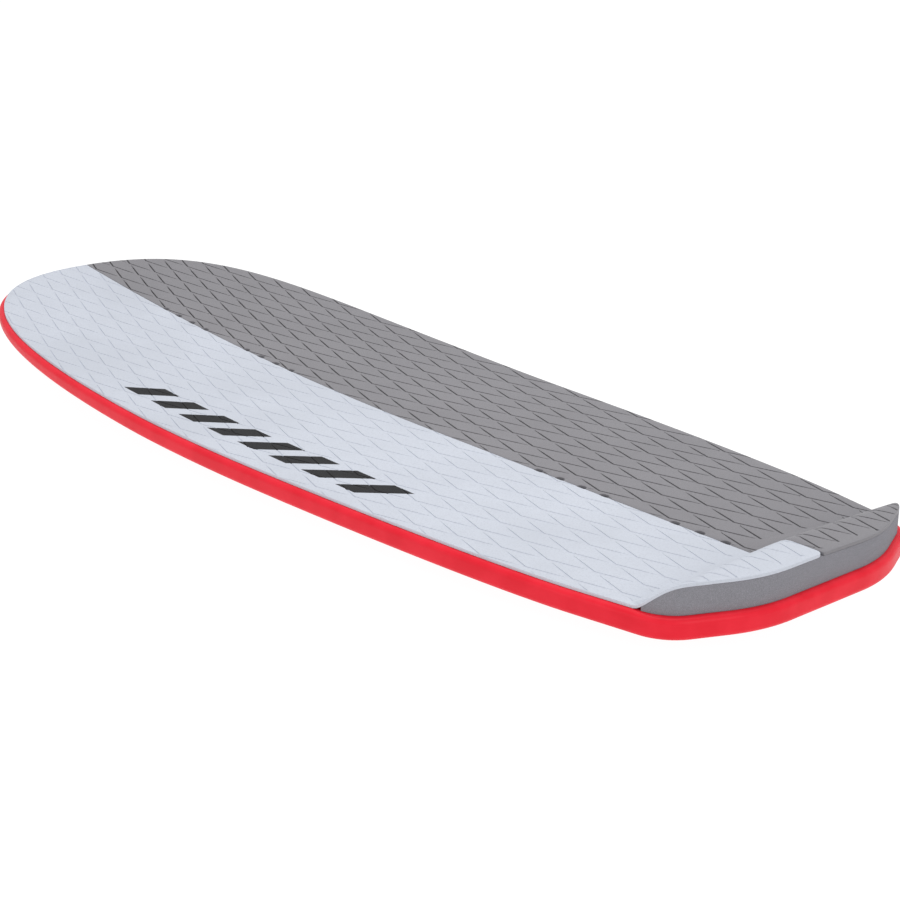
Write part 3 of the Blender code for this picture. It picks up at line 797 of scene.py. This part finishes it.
def make_pad(name, half, side, bite, aft_round, grooves, finishes):
    """One half of the deck pad: a thin sheet with cut grooves and eased edges."""
    loop = pad_loop(half, side, bite, aft_round)
    inner = offset_half(half, -GROOVE_RIM)
    inner = inner[:int(np.argmax(inner[:, 0])) + 1]

    def margin(x, y):
        width = np.interp(x, inner[:, 0], inner[:, 1], left=-1.0, right=-1.0)
        past_seam = side * (y - seam_y(x)) - SEAM_GAP
        if any(abs(x - centre) < BITE_LENGTH / 2 + GROOVE_RIM for centre in BITES):
            past_seam -= bite
        return min(width - abs(y), past_seam - GROOVE_RIM)

    lines = grooves.lines(margin) + edge_rings(loop, EDGE_ROUND, EDGE_RINGS)
    bars = graphic_bars() if len(finishes) > 1 else []
    lines += [filled(closed(bar), FACE_STEP) for bar in bars]
    places, triangles = triangulated(loop, face_points(side, margin), lines)
    x, y = places.T
    rim = distance_to(loop, x, y)
    groove_cut_and_shade = grooves.depth(x, y) * (rim > EDGE_ROUND * CUT_CLEAR)
    heights = pad_top_z(x, y) - grooves.full_depth * groove_cut_and_shade - edge_drop(rim, EDGE_ROUND)

    bm = bmesh.new()
    groove_shade_mask = bm.verts.layers.float.new("groove_shade_mask")
    verts, faces = add_surface(bm, places, triangles, heights)
    # the groove depth share also masks where the foam finish paints its groove shade
    for i, vert in verts.items():
        vert[groove_shade_mask] = groove_cut_and_shade[i]
    middles = places[triangles].mean(axis=1)
    for bar in bars:
        for face, printed in zip(faces, inside(middles, bar)):
            if printed:
                face.material_index = 1
    close_below(bm, loop, pad_top_z(*loop.T) - EDGE_ROUND,
                lambda x, y: pad_top_z(x, y) - PAD_SHEET)
    pad = add_piece(name + "_sheet", bm, "board", finishes, (name,), sharp_above=26.0)


def make_kick_wedge(half, finish):
    """Foam wedge that holds the pad up at the tail, cut flush with the pad's edge."""
    def top(x, y):
        return pad_top_z(x, y) - PAD_SHEET - GAP

    outline = full_loop(half)
    front_rise = WEDGE_THIN_EDGE + GAP * 2
    edge = outline[kick_height(*outline.T) > front_rise]
    xs = np.linspace(KICK_FOOT_X - FOOT_SEARCH, PAD_TAIL_X, RISE_POINTS)
    front = [(np.interp(front_rise, kick_height(xs, y), xs), y)
             for y in np.linspace(edge[-1, 1], edge[0, 1], FRONT_POINTS)[1:-1]]
    loop = np.vstack([edge, front])
    low_corner, high_corner = loop.min(axis=0), loop.max(axis=0)
    spread = np.array([(x, y) for x in np.arange(low_corner[0], high_corner[0], KICK_STEP)
                       for y in np.arange(low_corner[1], high_corner[1], FACE_STEP)])
    spread = spread[inside(spread, inset_loop(loop, KICK_STEP / 2))]
    rings = edge_rings(loop, WEDGE_EDGE, WEDGE_RINGS)
    places, triangles = triangulated(loop, spread, rings)
    drop = edge_drop(distance_to(loop, *places.T), WEDGE_EDGE)
    bm = bmesh.new()
    add_surface(bm, places, triangles, top(*places.T) - drop)
    close_below(bm, loop, top(*loop.T) - WEDGE_EDGE, lambda x, y: deck_z(x) + GAP)
    wedge = add_piece("kick_wedge_foam", bm, "board", [finish], ("kick_wedge",))


# ---------------------------------------------------------------- hull
def pocket_loops():
    """Where the tracks and the vent come through the bottom."""
    loops = []
    for side_name in ("port", "starboard"):
        low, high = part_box("track_" + side_name)
        radius = (high.y - low.y) / 2 + GAP
        middle = (low.y + high.y) / 2
        points = []
        for end, centre in ((1, high.x + GAP - radius), (-1, low.x - GAP + radius)):
            for turn in np.linspace(-math.pi / 2, math.pi / 2, SLOT_END_POINTS):
                points.append((centre + end * radius * math.cos(turn),
                               middle + end * radius * math.sin(turn)))
        loops.append(np.array(points))
    low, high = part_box("vent_body")
    radius = (high.x - low.x) / 2 + GAP
    turns = np.arange(VENT_HOLE_POINTS) * math.tau / VENT_HOLE_POINTS
    centre = (low + high) / 2
    loops.append(np.column_stack([centre.x + radius * np.cos(turns),
                                  centre.y + radius * np.sin(turns)]))
    return loops


def hull_rings(half, inset):
    """Outlines and heights from the deck's edge, round the rail, to the flat bottom."""
    radius, side = RAIL_RADIUS - inset, RAIL_LIP - inset
    rings = []
    for turn in np.linspace(0.0, math.pi / 2, RAIL_TOP_POINTS):
        points = offset_half(half, side - radius * (1 - math.sin(turn)))
        rings.append((points, deck_z(points[:, 0]) - inset - radius * (1 - math.cos(turn))))
    for turn in np.linspace(0.0, math.radians(RAIL_UNDERCUT_TURN), RAIL_UNDER_POINTS):
        points = offset_half(half, side - radius * (1 - math.cos(turn)))
        rings.append((points, deck_z(points[:, 0]) - rail_depth(points[:, 0])
                      + radius * (1 - math.sin(turn)) + inset))
    points = shrunk_half(half, CHINE_WIDTH + inset)
    rings.append((points, bottom_z(points[:, 0]) + inset))
    return rings


def make_hull(half, finish):
    """Painted shell: deck flange, rounded rail, chine and flat bottom with its pockets."""
    bm = bmesh.new()
    pockets = pocket_loops()
    flange = offset_half(half, -DECK_LIP)
    for inset in (0.0, SKIN):
        rings = [(flange, deck_z(flange[:, 0]) - inset)] + hull_rings(half, inset)
        loops = [loop_at(bm, full_loop(points), full_heights(heights))
                 for points, heights in rings]
        for first, second in zip(loops, loops[1:]):
            join_loops(bm, first, second)
        bottom = full_loop(rings[-1][0])
        spread = np.array([(x, y) for x in np.arange(PAD_NOSE_X, PAD_TAIL_X, BOTTOM_STEP)
                           for y in np.arange(-PAD_HALF_WIDTH, PAD_HALF_WIDTH, BOTTOM_STEP)])
        spread = spread[inside(spread, inset_loop(bottom, BOTTOM_STEP / 4))]
        places, triangles = triangulated(bottom, spread, holes=pockets)
        add_surface(bm, places, triangles, bottom_z(places[:, 0]) + inset)
    edge = full_loop(flange)
    join_loops(bm, loop_at(bm, edge, deck_z(edge[:, 0])),
               loop_at(bm, edge, deck_z(edge[:, 0]) - SKIN))
    for pocket in pockets:
        join_loops(bm, loop_at(bm, pocket, np.zeros(len(pocket))),
                   loop_at(bm, pocket, np.full(len(pocket), SKIN)))
    bmesh.ops.remove_doubles(bm, verts=bm.verts, dist=MERGE)
    add_piece("hull", bm, "board", [finish], ("hull_shell",), sharp_above=40.0)


def full_heights(heights):
    return np.concatenate([heights[1:-1], heights[:0:-1], heights[:1]])


# ---------------------------------------------------------------- the rest of the frame
def finish_frame_nodes():
    """Better finishes on the pieces whose frame shape is already right."""
    steel, rubber = steel_finish(), rubber_finish()
    moulded, membrane = moulded_finish(), membrane_finish()
    laminate, wood = laminate_finish(), wood_finish()
    core = bead_foam_finish("core_bead_foam", (0.78, 0.78, 0.76), (0.90, 0.90, 0.88), 260.0)
    block = bead_foam_finish("dense_block_foam", (0.42, 0.47, 0.25), (0.58, 0.62, 0.37), 900.0)
    looks = {"track_nut": steel, "vent_screw": steel, "vent_seal": rubber,
             "vent_membrane": membrane, "vent_body": moulded, "track_block": block,
             "track_port": moulded, "track_starboard": moulded,
             "deck_panel": laminate, "stringer": wood, "core": core}
    for name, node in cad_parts.items():
        look = next((finish for start, finish in looks.items() if name.startswith(start)), None)
        if look:
            for slot in node.material_slots:
                slot.material = look


# ---------------------------------------------------------------- studio
def soft_light(name, place, aim, size, power):
    data = bpy.data.lights.new(name, 'AREA')
    data.shape, data.size, data.energy = 'DISK', size, power
    light = bpy.data.objects.new(name, data)
    light.location = place
    light.rotation_euler = (Vector(aim) - Vector(place)).to_track_quat('-Z', 'Y').to_euler()
    bpy.context.scene.collection.objects.link(light)


def make_studio():
    bm = bmesh.new()
    bmesh.ops.create_grid(bm, x_segments=1, y_segments=1, size=FLOOR_SIZE)
    mesh = bpy.data.meshes.new("floor")
    bm.to_mesh(mesh)
    bm.free()
    floor = bpy.data.objects.new("floor", mesh)
    floor.location = (0.0, 0.0, FLOOR_DROP)
    bpy.context.scene.collection.objects.link(floor)
    paper = Finish("white_paper", roughness=0.9, specular_ior_level=0.0)
    paper.shader.inputs["Base Color"].default_value = rgba(*[FLOOR_SHADE] * 3)
    paper.shader.inputs["Emission Color"].default_value = rgba(1.0, 1.0, 1.0)
    paper.shader.inputs["Emission Strength"].default_value = FLOOR_GLOW
    mesh.materials.append(paper.material)

    world = bpy.data.worlds.new("studio")
    world.use_nodes = True
    background = world.node_tree.nodes["Background"]
    background.inputs["Color"].default_value = rgba(*WORLD_COLOUR)
    background.inputs["Strength"].default_value = WORLD_STRENGTH
    bpy.context.scene.world = world
    for light in LIGHTS:
        soft_light(*light)
    bpy.context.scene.view_settings.view_transform = 'Standard'


# ---------------------------------------------------------------- the board
def main():
    place_camera()
    half = pad_half_outline()
    long_half = drawn_forward(half)
    white = eva_finish("white_eva_foam", *WHITE_FOAM_AND_GROOVE_SHADE, roughness=0.74, sheen=0.0)
    ink = eva_finish("black_print", *BLACK_PRINT_AND_GROOVE_SHADE, roughness=0.55, sheen=0.0)
    grey = eva_finish("grey_eva_foam", *GREY_FOAM_AND_GROOVE_SHADE, roughness=0.8, sheen=0.2)
    make_pad("pad_white", long_half, -1, WHITE_BITE, AFT_CORNER_ROUND, Grooves(*WHITE_CUT),
             [white, ink])
    make_pad("pad_grey", long_half, 1, GREY_BITE, 0.0, Grooves(*GREY_CUT), [grey])
    make_kick_wedge(half, wedge_finish())
    make_hull(half, paint_finish())
    finish_frame_nodes()
    make_studio()


main()
